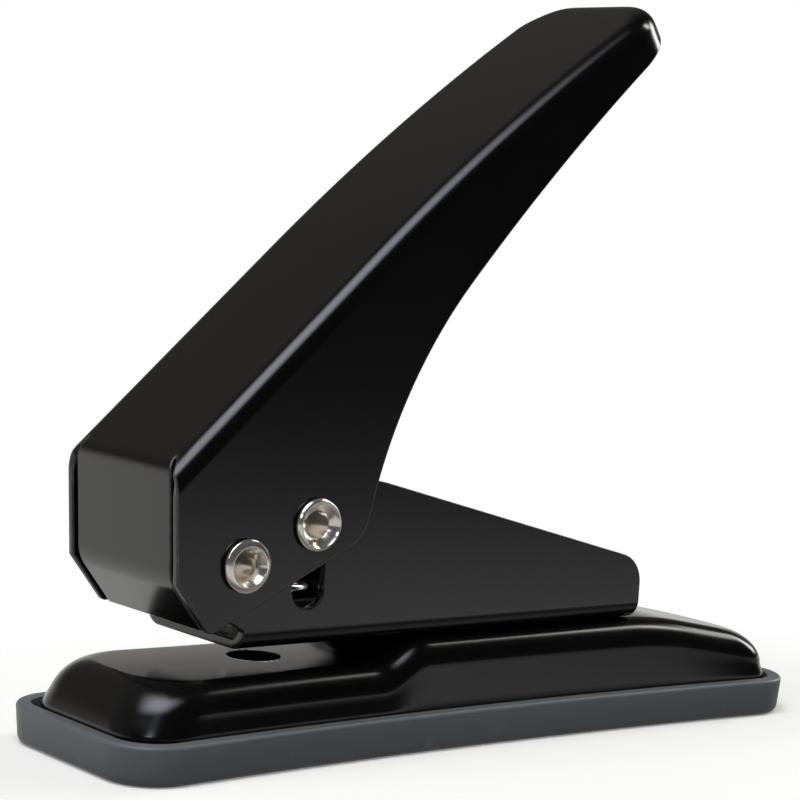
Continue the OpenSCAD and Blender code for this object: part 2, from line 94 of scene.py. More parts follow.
TRAY_WALL = 1.8 * MM
TRAY_FLOOR = 1.2 * MM
TRAY_CORNER = 6.5 * MM
TRAY_DRAFT = 0.3 * MM
TRAY_FOOT_R = 1.1 * MM
TRAY_LIP_R = 0.5 * MM
TRAY_INNER_R = 0.2 * MM
WAIST = 1.9 * MM
DOME_INSET = 1.95 * MM
DOME_SHEET = 1.0 * MM
DOME_FRONT_R = 6.8 * MM
DOME_REAR_R = 5.4 * MM
DOME_EDGE_R = 3.6 * MM
DOME_LEAN = 0.4 * MM
FRONT_END_LEAN = 2.0 * MM
FRONT_END_BOW = 2.4 * MM
DECK_CROWN = 0.12 * MM
DOME_FOOT = 1.28 * MM
FRONT_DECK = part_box("die_plate")[1].z + DOME_SHEET
STEP_FROM = punch_axis.x + 11.4 * MM
STEP_RUN = 7.0 * MM
REAR_FALL_FROM = frame_high.x + 4.0 * MM
REAR_FALL_EASE = 5.0 * MM
REAR_FALL = math.tan(math.radians(10.75))
DIE_HOLE_D = 6.55 * MM
CUT_REACH = 3.0 * MM

# Frame

FRAME_SHEET = 1.2 * MM
FRAME_BEND_R = 2.4 * MM
FRAME_FRONT = punch_axis.x - 8.8 * MM
EYE_R = 6.2 * MM
CHEEK_REAR_H = 7.7 * MM
CHEEK_FALL = math.tan(math.radians(14.85))
BROW_X = punch_axis.x + 9.5 * MM
BROW_R = 12.0 * MM
SHOULDER_R = 3.0 * MM
CHEEK_CORNER_R = 4.0 * MM
SLOT_R = 2.26 * MM
SLOT_DROP = 7.8 * MM
BUSH_HOLE_R = 4.2 * MM

# Lever, with the points of its front measured from the pivot in the side view

LEVER_SHEET = 1.0 * MM
LEVER_BEND_R = 2.4 * MM
TIP_BEND_R = 3.4 * MM
TIP_CORNER_BEND_R = 2.8 * MM
TIP_CORNER = 8.0 * MM
TIP_EASE = 0.4
TOP_RISE = math.radians(42.4)
TOP_STRAIGHT = 35.7 * MM
FIRST_ROW = 4.0 * MM
HANDLE_LEN = 55.3 * MM
BOW_R = 330.0 * MM
FRONT_TOP = Vector((-9.85, 11.1)) * MM
FRONT_FOOT = Vector((-9.0, -1.85)) * MM
TOE = Vector((-4.3, -7.8)) * MM
TOE_R = 1.0 * MM
FOLD_R = 2.8 * MM
FLAP_CURL_R = 4.5 * MM
FLAP_TAIL = 7.5 * MM
FLAP_SEAM = 0.8 * MM
FLAP_RECESS = 0.2 * MM
NOTCH_TOP = 1.75 * MM
NOTCH_TURN = 0.7
BELLY_RISE = math.radians(25.6)
NOSE_R = 5.0 * MM
NECK_R = 62.0 * MM
NECK_END = math.radians(79)
NECK_FROM = TOP_STRAIGHT + 9.4 * MM
NECK_DEPTH = 11.5 * MM
TIP_DEPTH = 4.5 * MM
TOP_END = TOP_STRAIGHT + HANDLE_LEN
TIP_FROM = TOP_END - TIP_CORNER

# Rounded edges, their wear and painted highlight, spring and rivets

EDGE_ROUND = 0.28 * MM
FRAME_EDGE_ROUND = 0.5 * MM
# Share of edge wear and painted edge highlight on the frame.
FRAME_WEAR_AND_HIGHLIGHT = 0.35
LEVER_EDGE_ROUND = 0.26 * MM
SLIVER = 0.03 * MM
WIRE_D = 0.8 * MM
SPRING_TURNS = 3.0
SPRING_EASE = 0.03 * MM
SPRING_START = math.radians(72)
RIVET_SHANK_R = 1.7 * MM
RIVET_HEAD_R = 3.1 * MM
RIVET_HEAD_H = 1.0 * MM
RIVET_RIM = 0.25 * MM
RIVET_RIM_TURN = math.pi / 3
RIVET_LIP = 0.18 * MM
RIVET_RING_FALL = 0.3 * MM
RIVET_BORE_DEPTH = 5.0 * MM
FUNNEL_BOW = 0.8
PIVOT_MOUTH_R = 2.2 * MM
PIVOT_BORE_R = 1.45 * MM
PIVOT_FUNNEL = 1.3 * MM
DRIVE_MOUTH_R = 2.6 * MM
DRIVE_BORE_R = 1.6 * MM
DRIVE_FUNNEL = 1.0 * MM
FIXING_HEAD_H = 1.5 * MM
FIXING_SHANK_R = 2.0 * MM

# How many steps the curves are made in

TOP_STEPS = 6
BOW_STEPS = 36
BEND_STEPS = 10
TIP_STEPS = 20
WALL_STEPS = 20
NECK_STEPS = 28
CURL_STEPS = 14
FOLD_STEPS = 12
EYE_STEPS = 16
SLOT_STEPS = 24
TRAY_FOOT_STEPS = 8
TRAY_LIP_STEPS = 6
TRAY_FLOOR_STEPS = 5
SKIRT_STEPS = 4
DOME_EDGE_STEPS = 16
DECK_STEPS = 12
RIM_STEPS = 8
LIP_STEPS = 6
FUNNEL_STEPS = 6
WIRE_STEPS = 48
WIRE_SIDES = 16


# Outline helpers, in the plane of the side view

def turned(angle):
    """Unit direction at an angle."""
    return Vector((math.cos(angle), math.sin(angle)))


def spread(start, end, steps):
    """Even values from start to end, both kept."""
    return [start + (end - start) * k / steps for k in range(steps + 1)]


def eased(share):
    """Share from 0 to 1 that starts and ends gently."""
    share = max(0.0, min(1.0, share))
    return share * share * (3 - 2 * share)


def crossing(p, u, q, v):
    """Where the line through p along u crosses the line through q along v."""
    d = q - p
    return p + u * ((d.x * v.y - d.y * v.x) / (u.x * v.y - u.y * v.x))


def rounded(a, b, c, r, steps=10):
    """Points of the arc that rounds the corner at b between a and c."""
    u = (a - b).normalized()
    v = (c - b).normalized()
    half = math.acos(max(-1.0, min(1.0, u.dot(v)))) / 2
    centre = b + (u + v).normalized() * (r / math.sin(half))
    start = b + u * (r / math.tan(half)) - centre
    finish = b + v * (r / math.tan(half)) - centre
    begin = math.atan2(start.y, start.x)
    sweep = math.atan2(start.x * finish.y - start.y * finish.x, start.dot(finish))
    return [centre + turned(angle) * r for angle in spread(begin, begin + sweep, steps)]


# Mesh helpers

def strip(bm, rows, closed=False):
    """Quads between rows of points; matching points are merged later."""
    made = [[bm.verts.new(p) for p in row] for row in rows]
    count = len(made[0])
    for a, b in zip(made, made[1:]):
        for k in range(count if closed else count - 1):
            n = (k + 1) % count
            bm.faces.new((a[k], a[n], b[n], b[k]))


def face(bm, points):
    """One flat face."""
    bm.faces.new([bm.verts.new(p) for p in points])


def piece_from(name, bm, inside):
    """Object of a mesh whose faces point away from a place inside it."""
    bmesh.ops.remove_doubles(bm, verts=bm.verts, dist=MERGE)
    bmesh.ops.recalc_face_normals(bm, faces=bm.faces)
    bm.normal_update()
    outward = sum((f.calc_center_median() - inside).dot(f.normal) * f.calc_area() for f in bm.faces)
    if outward < 0:
        bmesh.ops.reverse_faces(bm, faces=bm.faces)
    mesh = bpy.data.meshes.new(name)
    bm.to_mesh(mesh)
    bm.free()
    mesh.shade_smooth()
    obj = bpy.data.objects.new(name, mesh)
    bpy.context.scene.collection.objects.link(obj)
    return obj


def prism(name, outline, low, high):
    """Upright plate of a side-view outline between two places across the punch, for cutting."""
    bm = bmesh.new()
    near = [Vector((p.x, low, p.y)) for p in outline]
    far = [Vector((p.x, high, p.y)) for p in outline]
    strip(bm, [near, far], closed=True)
    face(bm, near)
    face(bm, far)
    return piece_from(name, bm, sum(near + far, Vector()) / (2 * len(near)))


def round_cutter(name, centre, radius, axis, reach, steps=64):
    """Round bar along an axis, for cutting."""
    turn = UP.rotation_difference(axis).to_matrix()
    rings = []
    for along in (-reach, reach):
        ring = [Vector((*(turned(a) * radius), along)) for a in spread(0, math.tau, steps)[:-1]]
        rings.append([centre + turn @ p for p in ring])
    bm = bmesh.new()
    strip(bm, rings, closed=True)
    face(bm, rings[0])
    face(bm, rings[1])
    return piece_from(name, bm, centre)


def thicken(obj, thickness):
    """The skin becomes the outer side of a sheet."""
    solid = obj.modifiers.new("sheet", "SOLIDIFY")
    solid.thickness = thickness
    solid.offset = -1
    solid.use_even_offset = True
    solid.use_quality_normals = True


def cut(obj, cutters):
    """Cuts other solids out of a piece."""
    for cutter in cutters:
        hole = obj.modifiers.new("hole", "BOOLEAN")
        hole.operation = "DIFFERENCE"
        hole.solver = "EXACT"
        hole.object = cutter


def soften(obj, width, segments=3, angle=40, kept_clear=True):
    """Joins slivers, rounds the cut edges, marks them for wear and a painted highlight, and keeps flat faces
    flat.
    """
    weld = obj.modifiers.new("slivers", "WELD")
    weld.merge_threshold = SLIVER
    bevel = obj.modifiers.new("edges", "BEVEL")
    bevel.width = width
    bevel.segments = segments
    bevel.limit_method = "ANGLE"
    bevel.angle_limit = math.radians(angle)
    bevel.loop_slide = False
    bevel.use_clamp_overlap = kept_clear
    bevel.material = 1
    weighted = obj.modifiers.new("flats", "WEIGHTED_NORMAL")
    weighted.keep_sharp = True


def settle(obj, cutters=(), wear_and_highlight=1.0):
    """Works the modifiers into a plain mesh and turns the marked edges into an attribute."""
    obj.data.materials.append(None)
    obj.data.materials.append(None)
    graph = bpy.context.evaluated_depsgraph_get()
    worked = obj.evaluated_get(graph)
    mesh = bpy.data.meshes.new_from_object(worked, preserve_all_data_layers=True, depsgraph=graph)
    obj.modifiers.clear()
    obj.data = mesh
    mesh.name = obj.name
    # The marked edges carry real wear and a painted highlight.
    worn_and_highlit = mesh.attributes.new("edge_wear_and_highlight", "FLOAT", "FACE")
    for polygon in mesh.polygons:
        worn_and_highlit.data[polygon.index].value = polygon.material_index * wear_and_highlight
        polygon.material_index = 0
    mesh.materials.clear()
    for cutter in cutters:
        bpy.data.objects.remove(cutter)
    return obj


# Lever

BOW_START = FRONT_TOP + turned(TOP_RISE) * TOP_STRAIGHT


def top_point(s, depth):
    """Place in the side view at a distance along the lever's top and a depth below it, from the pivot."""
    if s <= TOP_STRAIGHT:
        angle = TOP_RISE
        base = FRONT_TOP + turned(angle) * s
    else:
        angle = TOP_RISE - (s - TOP_STRAIGHT) / BOW_R
        rise = Vector((math.sin(TOP_RISE) - math.sin(angle), math.cos(angle) - math.cos(TOP_RISE)))
        base = BOW_START + rise * BOW_R
    return base + Vector((math.sin(angle), -math.cos(angle))) * depth


def wall_depth(s):
    """Depth of the handle's walls, which taper from the neck to the tip."""
    return NECK_DEPTH + (TIP_DEPTH - NECK_DEPTH) * (s - NECK_FROM) / (TOP_END - NECK_FROM)


def on_lever(flat, y):
    """Place in space of a point of the lever's side view."""
    return Vector((pivot.x + flat.x, y, pivot.z + flat.y))


def wall_lower_edge():
    """Lower edge of the lever's walls from the handle to the foot of the front edge."""
    handle = [top_point(s, wall_depth(s)) for s in spread(TIP_FROM, NECK_FROM, WALL_STEPS)]
    taper = math.atan((NECK_DEPTH - TIP_DEPTH) / (TOP_END - NECK_FROM))
    begin = TOP_RISE - (NECK_FROM - TOP_STRAIGHT) / BOW_R + taper
    neck = []
    for angle in spread(begin, NECK_END, NECK_STEPS)[1:]:
        bend = Vector((math.sin(angle) - math.sin(begin), math.cos(begin) - math.cos(angle)))
        neck.append(handle[-1] - bend * NECK_R)
    nose = crossing(neck[-1], turned(NECK_END), TOE, turned(BELLY_RISE))
    belly = rounded(neck[-1], nose, TOE, NOSE_R) + rounded(nose, TOE, FRONT_FOOT, TOE_R)
    return handle + neck[:-1] + belly + [FRONT_FOOT]


def rim_stations():
    """Plan of the top's rim on one side, along the handle and round the tip.

    A station is a place along and across, an outward direction and the radius of the bend there.
    """
    half = lever_width / 2
    places = [NOTCH_TOP] + spread(FIRST_ROW, TOP_STRAIGHT, TOP_STEPS)
    places += spread(TOP_STRAIGHT, TIP_FROM, BOW_STEPS)[1:]
    handle = [(s, half - LEVER_BEND_R, Vector((0, 1)), LEVER_BEND_R) for s in places]
    tip = []
    centre = Vector((TIP_FROM, half - TIP_CORNER))
    for angle in spread(math.pi / 2, 0, TIP_STEPS)[1:]:
        turn = 1 - angle / (math.pi / 2)
        r = LEVER_BEND_R + (TIP_CORNER_BEND_R - LEVER_BEND_R) * eased(turn / TIP_EASE)
        r += (TIP_BEND_R - TIP_CORNER_BEND_R) * eased((turn - 1 + TIP_EASE) / TIP_EASE)
        at = centre + turned(angle) * (TIP_CORNER - r)
        tip.append((at.x, at.y, turned(angle), r))
    tip.append((TOP_END - TIP_BEND_R, 0.0, Vector((1, 0)), TIP_BEND_R))
    return handle, tip


def front_shear():
    """How far the walls' front edge runs along the top for each unit of depth."""
    front_way = (FRONT_FOOT - FRONT_TOP).normalized()
    along = turned(TOP_RISE)
    down = Vector((along.y, -along.x))
    return front_way.dot(along) / front_way.dot(down)


def bend_rows(side, stations):
    """Rows round the bend from the top to the wall; their first points follow the notch and front edge."""
    shear = front_shear()
    rows = []
    for angle in spread(0, math.pi / 2, BEND_STEPS):
        row = []
        for k, (s, y, out, r) in enumerate(stations):
            depth = r * (1 - math.cos(angle))
            reach = out * (r * math.sin(angle))
            at = s + reach.x
            if k == 0:
                at = NOTCH_TOP * (1 - eased(angle / NOTCH_TURN)) + shear * depth
            row.append(on_lever(top_point(at, depth), side * (y + reach.y)))
        rows.append(row)
    return rows


def middle_row(stations):
    """Points on the top's middle line, one for each station; those of the tip share one point."""
    hub = on_lever(top_point(TIP_FROM, 0), 0)
    return [on_lever(top_point(s, 0), 0) if s <= TIP_FROM else hub for s, *_ in stations]


def tip_lower_edge(side, stations):
    """Lower edge of the wall that goes round the tip."""
    edge = []
    for s, y, out, r in stations:
        reach = out * r
        edge.append(on_lever(top_point(s + reach.x, wall_depth(s + reach.x)), side * (y + reach.y)))
    return edge


def flap_line():
    """Side view of the front flap, a little behind the walls' front edges: tail, curl, front and fold."""
    front_way = (FRONT_FOOT - FRONT_TOP).normalized()
    tail_way = (TOE - FRONT_FOOT).normalized()
    behind_front = FRONT_TOP + Vector((-front_way.y, front_way.x)) * FLAP_RECESS
    behind_tail = FRONT_FOOT + Vector((-tail_way.y, tail_way.x)) * FLAP_RECESS
    top = crossing(behind_front, front_way, FRONT_TOP, turned(TOP_RISE))
    foot = crossing(behind_front, front_way, behind_tail, tail_way)
    tail_end = behind_tail + tail_way * FLAP_TAIL
    curl = rounded(tail_end, foot, top, FLAP_CURL_R, CURL_STEPS)
    fold = rounded(foot, top, BOW_START, FOLD_R, FOLD_STEPS)
    return [tail_end] + curl + fold + [top_point(NOTCH_TOP, 0)]


def flap_rows():
    """Near edge, middle and far edge of the flap, which widens through its fold to the top's width."""
    line = flap_line()
    web_half = lever_width / 2 - LEVER_BEND_R
    flap_half = lever_width / 2 - LEVER_SHEET - FLAP_SEAM
    fold_from = len(line) - 2 - FOLD_STEPS
    halves = []
    for k in range(len(line)):
        halves.append(flap_half + (web_half - flap_half) * eased((k - fold_from) / FOLD_STEPS))
    return [[on_lever(p, side * half) for p, half in zip(line, halves)] for side in (-1, 0, 1)]


def lever_piece():
    """One pressed sheet: top, two walls, rounded tip and a front flap folded down from the top."""
    bm = bmesh.new()
    handle, tip = rim_stations()
    stations = handle + tip
    last = len(handle) - 1
    for side in (-1, 1):
        bend = bend_rows(side, stations)
        strip(bm, bend)
        strip(bm, [bend[0], middle_row(stations)])
        strip(bm, [bend[-1][last:], tip_lower_edge(side, stations[last:])])
        wall_y = side * lever_width / 2
        face(bm, bend[-1][: last + 1] + [on_lever(p, wall_y) for p in wall_lower_edge()])
    strip(bm, flap_rows())
    lever = piece_from("lever_sheet", bm, on_lever(top_point(TOP_STRAIGHT, NECK_DEPTH), 0))
    holes = [
        round_cutter("pivot_hole", pivot, RIVET_SHANK_R, FAR, lever_width),
        round_cutter("drive_hole", drive, RIVET_SHANK_R, FAR, lever_width),
    ]
    thicken(lever, LEVER_SHEET)
    cut(lever, holes)
    soften(lever, LEVER_EDGE_ROUND, kept_clear=False)
    return settle(lever, holes)


# Frame

def cheek_outline():
    """Side view of a cheek above its bend, from the lower front corner round to the pivot's eye."""
    eye = Vector((pivot.x, pivot.z))
    front_low = Vector((FRAME_FRONT, rear_deck + FRAME_BEND_R))
    rear_low = Vector((frame_high.x, rear_deck))
    rear_top = Vector((frame_high.x, rear_deck + CHEEK_REAR_H))
    brow = Vector((BROW_X, rear_top.y + (frame_high.x - BROW_X) * CHEEK_FALL))
    front_top = Vector((punch_axis.x - SLOT_R - FRAME_SHEET, brow.y))
    eye_top = eye + Vector((0, EYE_R))
    from_eye = front_low - eye
    tangent = math.atan2(from_eye.y, from_eye.x) - math.acos(EYE_R / from_eye.length) + math.tau
    outline = [front_low, Vector((frame_high.x, front_low.y))]
    outline += rounded(rear_low, rear_top, brow, CHEEK_CORNER_R)
    outline += rounded(rear_top, brow, front_top, BROW_R)
    outline += rounded(brow, front_top, eye_top, SHOULDER_R)
    outline += [eye + turned(a) * EYE_R for a in spread(math.pi / 2, tangent, EYE_STEPS)]
    return outline


def frame_piece():
    """Channel frame: a web with two cheeks bent up from it, slotted for the drive rivet."""
    bm = bmesh.new()
    centre_y = frame_width / 2 - FRAME_BEND_R
    section = []
    for side in (-1, 1):
        bend = [turned(a) * FRAME_BEND_R for a in spread(math.pi, 1.5 * math.pi, BEND_STEPS)]
        half = [(side * (centre_y - p.x), rear_deck + FRAME_BEND_R + p.y) for p in bend]
        section += half if side < 0 else half[::-1]
    rows = [[Vector((FRAME_FRONT, y, z)), Vector((frame_high.x, y, z))] for y, z in section]
    strip(bm, rows)
    outline = cheek_outline()
    for side in (-1, 1):
        face(bm, [Vector((p.x, side * frame_width / 2, p.y)) for p in outline])
    piece = piece_from("frame_channel", bm, Vector((punch_axis.x, 0, drive.z)))
    low = Vector((punch_axis.x, drive.z - SLOT_DROP))
    high = Vector((punch_axis.x, drive.z))
    slot = [low + turned(a) * SLOT_R for a in spread(math.pi, math.tau, SLOT_STEPS)]
    slot += [high + turned(a) * SLOT_R for a in spread(0, math.pi, SLOT_STEPS)]
    cutters = [
        prism("slot_cut", slot, -frame_width, frame_width),
        round_cutter("bush_hole", Vector((punch_axis.x, 0, rear_deck)), BUSH_HOLE_R, UP, CUT_REACH),
        round_cutter("eye_hole", pivot, RIVET_SHANK_R, FAR, frame_width),
    ]
    thicken(piece, FRAME_SHEET)
    cut(piece, cutters)
    soften(piece, FRAME_EDGE_ROUND)
    return settle(piece, cutters, FRAME_WEAR_AND_HIGHLIGHT)


# Plan of the tray and the dome

def side_line(x, inset):
    """Line of a side, inset from the tray's edge and drawn in by the waist between the tray's corners."""
    waist_end = tray_len / 2 - TRAY_CORNER
    return tray_width / 2 - inset - WAIST * (1 - (x / waist_end) ** 2)


def plan_quarter(inset, r, set_back, corner_steps=18, side_steps=48):
    """Quarter of the plan from the middle of a side, which is drawn in there, round the corner to the end."""
    cx = tray_len / 2 - inset - r - set_back
    flare = math.atan(2 * WAIST * cx / (tray_len / 2 - TRAY_CORNER) ** 2)
    meet = cx - r * math.sin(flare)
    centre = Vector((cx, side_line(meet, inset) - r * math.cos(flare)))
    side = [Vector((x, side_line(x, inset))) for x in spread(0, meet, side_steps)[:-1]]
    return side + [centre + turned(a) * r for a in spread(math.pi / 2 + flare, 0, corner_steps)]


def plan(inset, front_r, rear_r, set_back=0.0):
    """Whole plan, once round, with its front end set back."""
    front = [Vector((-p.x, p.y)) for p in plan_quarter(inset, front_r, set_back)]
    half = front[:0:-1] + plan_quarter(inset, rear_r, 0.0)
    return half + [Vector((p.x, -p.y)) for p in reversed(half)]


def two_sides(ring):
    """The far and the near side of a plan, both from the front to the rear."""
    half = len(ring) // 2
    return ring[:half], ring[:half - 1:-1]


def cap(bm, ring):
    """Strip across the plan between its two sides."""
    strip(bm, two_sides(ring))


def tray_piece():
    """Moulded chip tray: drafted rim with rounded foot and lip, and a floor."""
    profile = [(TRAY_DRAFT + TRAY_FOOT_R * (1 - math.sin(a)), TRAY_FOOT_R * (1 - math.cos(a)))
               for a in spread(0, math.pi / 2, TRAY_FOOT_STEPS)]
    profile += [(TRAY_LIP_R * (1 - math.cos(a)), tray_rim - TRAY_LIP_R * (1 - math.sin(a)))
                for a in spread(0, math.pi / 2, TRAY_LIP_STEPS)]
    profile += [(TRAY_WALL - TRAY_INNER_R * (1 - math.sin(a)), tray_rim - TRAY_INNER_R * (1 - math.cos(a)))
                for a in spread(0, math.pi / 2, TRAY_LIP_STEPS)]
    profile += [(TRAY_WALL + TRAY_LIP_R * (1 - math.cos(a)), TRAY_FLOOR + TRAY_LIP_R * (1 - math.sin(a)))
                for a in spread(0, math.pi / 2, TRAY_FLOOR_STEPS)]
    bm = bmesh.new()
    rings = []
    for inset, z in profile:
        corner = TRAY_CORNER - inset
        rings.append([Vector((p.x, p.y, z)) for p in plan(inset, corner, corner)])
    strip(bm, rings, closed=True)
    cap(bm, rings[0])
    cap(bm, rings[-1])
    tray = piece_from("tray_moulding", bm, Vector((0, 0, TRAY_FLOOR / 2)))
    weighted = tray.modifiers.new("flats", "WEIGHTED_NORMAL")
    weighted.keep_sharp = True
    return settle(tray)


def deck_height(x):
    """Height of the dome's deck along its length: front deck, step, rear deck and its fall."""
    share = max(0.0, min(1.0, (x - STEP_FROM) / STEP_RUN))
    rise = (rear_deck - FRONT_DECK) * (1 - math.cos(math.pi * share)) / 2
    past = x - REAR_FALL_FROM
    if past <= -REAR_FALL_EASE:
        fall = 0.0
    elif past >= REAR_FALL_EASE:
        fall = past
    else:
        fall = (past + REAR_FALL_EASE) ** 2 / (4 * REAR_FALL_EASE)
    return FRONT_DECK + rise - fall * REAR_FALL


def crown_fall(y):
    """How far the crowned decks have fallen at a distance from the middle line."""
    half = tray_width / 2 - DOME_INSET - DOME_LEAN - DOME_EDGE_R
    return DECK_CROWN * min(1.0, (y / half) ** 2)


def front_inset(z):
    """How far the dome's front end lies behind its foot at a height: a lean and a growing bow."""
    share = min(1.0, (z - tray_rim) / (FRONT_DECK - tray_rim))
    return FRONT_END_LEAN * share + FRONT_END_BOW * (1 - math.sqrt(1 - share * share))


def dome_piece():
    """Pressed base plate: upright skirt, rounded edge, two decks with a step, and the die hole."""
    bm = bmesh.new()
    rings = [[Vector((p.x, p.y, DOME_FOOT)) for p in plan(DOME_INSET, DOME_FRONT_R, DOME_REAR_R)]]
    skirt = FRONT_DECK - DOME_EDGE_R - tray_rim
    profile = [(DOME_LEAN * share, skirt * share, DOME_EDGE_R) for share in spread(0, 1, SKIRT_STEPS)[:-1]]
    for a in spread(0, math.pi / 2, DOME_EDGE_STEPS):
        profile.append((DOME_LEAN + DOME_EDGE_R * (1 - math.cos(a)), skirt, DOME_EDGE_R * (1 - math.sin(a))))
    for lean, up, drop in profile:
        set_back = front_inset(tray_rim + up + DOME_EDGE_R - drop) - lean
        row = []
        for p in plan(DOME_INSET + lean, DOME_FRONT_R, DOME_REAR_R, set_back):
            deck = deck_height(p.x) - crown_fall(p.y)
            edge = min(DOME_EDGE_R, deck - tray_rim)
            foot = tray_rim + (deck - edge - tray_rim) * up / skirt
            row.append(Vector((p.x, p.y, foot + edge * (1 - drop / DOME_EDGE_R))))
        rings.append(row)
    strip(bm, rings, closed=True)
    far, near = two_sides(rings[-1])
    deck_rows = [far]
    for share in spread(0, 1, DECK_STEPS)[1:-1]:
        row = [a.lerp(b, share) for a, b in zip(far, near)]
        deck_rows.append([Vector((p.x, p.y, deck_height(p.x) - crown_fall(p.y))) for p in row])
    strip(bm, deck_rows + [near])
    dome = piece_from("dome_pressing", bm, Vector((0, 0, 0)))
    die_at = Vector((punch_axis.x, 0, FRONT_DECK))
    holes = [round_cutter("die_hole", die_at, DIE_HOLE_D / 2, UP, CUT_REACH)]
    thicken(dome, DOME_SHEET)
    cut(dome, holes)
    soften(dome, EDGE_ROUND)
    return settle(dome, holes)


# Rivets and spring

def node_group(name, sockets):
    """Empty geometry tree with a geometry in and out and named inputs."""
    tree = bpy.data.node_groups.new(name, "GeometryNodeTree")
    tree.interface.new_socket("Geometry", in_out="INPUT", socket_type="NodeSocketGeometry")
    tree.interface.new_socket("Geometry", in_out="OUTPUT", socket_type="NodeSocketGeometry")
    for label, kind in sockets:
        tree.interface.new_socket(label, in_out="INPUT", socket_type="NodeSocket" + kind)
    return tree, tree.nodes.new("NodeGroupInput"), tree.nodes.new("NodeGroupOutput")


def grow(obj, tree, values):
    """Runs a geometry tree on an object with the named values and keeps the plain mesh."""
    modifier = obj.modifiers.new(tree.name, "NODES")
    modifier.node_group = tree
    for item in tree.interface.items_tree:
        if item.in_out == "INPUT" and item.name in values:
            modifier[item.identifier] = values[item.name]
    graph = bpy.context.evaluated_depsgraph_get()
    mesh = bpy.data.meshes.new_from_object(obj.evaluated_get(graph), depsgraph=graph)
    obj.modifiers.clear()
    obj.data = mesh
    mesh.name = obj.name
    return obj


def rivet_row_tree():
    """Repeats one turned rivet along a line."""
    sockets = [("Count", "Int"), ("First", "Vector"), ("Pitch", "Vector"), ("Finish", "Material")]
    tree, given, made = node_group("rivet_row", sockets)
    line = tree.nodes.new("GeometryNodeMeshLine")
    place = tree.nodes.new("GeometryNodeInstanceOnPoints")
    real = tree.nodes.new("GeometryNodeRealizeInstances")
    finish = tree.nodes.new("GeometryNodeSetMaterial")
    link = tree.links.new
    link(given.outputs["Count"], line.inputs["Count"])
    link(given.outputs["First"], line.inputs["Start Location"])
    link(given.outputs["Pitch"], line.inputs["Offset"])
    link(line.outputs["Mesh"], place.inputs["Points"])
    link(given.outputs["Geometry"], place.inputs["Instance"])
    link(place.outputs["Instances"], real.inputs["Geometry"])
    link(real.outputs["Geometry"], finish.inputs["Geometry"])
    link(given.outputs["Finish"], finish.inputs["Material"])
    link(finish.outputs["Geometry"], made.inputs["Geometry"])
    return tree


def spring_tree():
    """Round wire wound along a spiral."""
    sockets = [("Coil radius", "Float"), ("Wire radius", "Float"), ("Turns", "Float"), ("Height", "Float"),
               ("Foot", "Vector"), ("Start angle", "Float"), ("Finish", "Material")]
    tree, given, made = node_group("coil_spring", sockets)
    spiral = tree.nodes.new("GeometryNodeCurveSpiral")
    wire = tree.nodes.new("GeometryNodeCurvePrimitiveCircle")
    sweep = tree.nodes.new("GeometryNodeCurveToMesh")
    start = tree.nodes.new("ShaderNodeCombineXYZ")
    turn = tree.nodes.new("FunctionNodeEulerToRotation")
    place = tree.nodes.new("GeometryNodeTransform")
    real = tree.nodes.new("GeometryNodeRealizeInstances")
    finish = tree.nodes.new("GeometryNodeSetMaterial")
    spiral.inputs["Resolution"].default_value = WIRE_STEPS
    wire.inputs["Resolution"].default_value = WIRE_SIDES
    sweep.inputs["Fill Caps"].default_value = True
    link = tree.links.new
    link(given.outputs["Coil radius"], spiral.inputs["Start Radius"])
    link(given.outputs["Coil radius"], spiral.inputs["End Radius"])
    link(given.outputs["Turns"], spiral.inputs["Rotations"])
    link(given.outputs["Height"], spiral.inputs["Height"])
    link(given.outputs["Wire radius"], wire.inputs["Radius"])
    link(spiral.outputs["Curve"], sweep.inputs["Curve"])
    link(wire.outputs["Curve"], sweep.inputs["Profile Curve"])
    link(sweep.outputs["Mesh"], place.inputs["Geometry"])
    link(given.outputs["Foot"], place.inputs["Translation"])
    link(given.outputs["Start angle"], start.inputs["Z"])
    link(start.outputs["Vector"], turn.inputs["Euler"])
    link(turn.outputs["Rotation"], place.inputs["Rotation"])
    link(place.outputs["Geometry"], real.inputs["Geometry"])
    link(real.outputs["Geometry"], finish.inputs["Geometry"])
    link(given.outputs["Finish"], finish.inputs["Material"])
    link(finish.outputs["Geometry"], made.inputs["Geometry"])
    return tree


def lathe(name, profile, axis, steps=72):
    """Turned piece round an axis through the origin; the profile gives radius and distance along the axis."""
    turn = UP.rotation_difference(axis).to_matrix()
    bm = bmesh.new()
    rings = []
    for r, along in profile:
        rings.append([turn @ Vector((*(turned(a) * r), along)) for a in spread(0, math.tau, steps)[:-1]])
    strip(bm, rings, closed=True)
    low, high = profile[0][1], profile[-1][1]
    return piece_from(name, bm, turn @ Vector((0, 0, (low + high) / 2)))


def low_head(r, h, base, way, steps=8):
    """Profile of a low round head from its crown to its rim."""
    ball = (r * r + h * h) / (2 * h)
    reach = math.asin(r / ball)
    angles = spread(0, reach, steps)
    return [(ball * math.sin(a), base + way * (h - ball + ball * math.cos(a))) for a in angles]


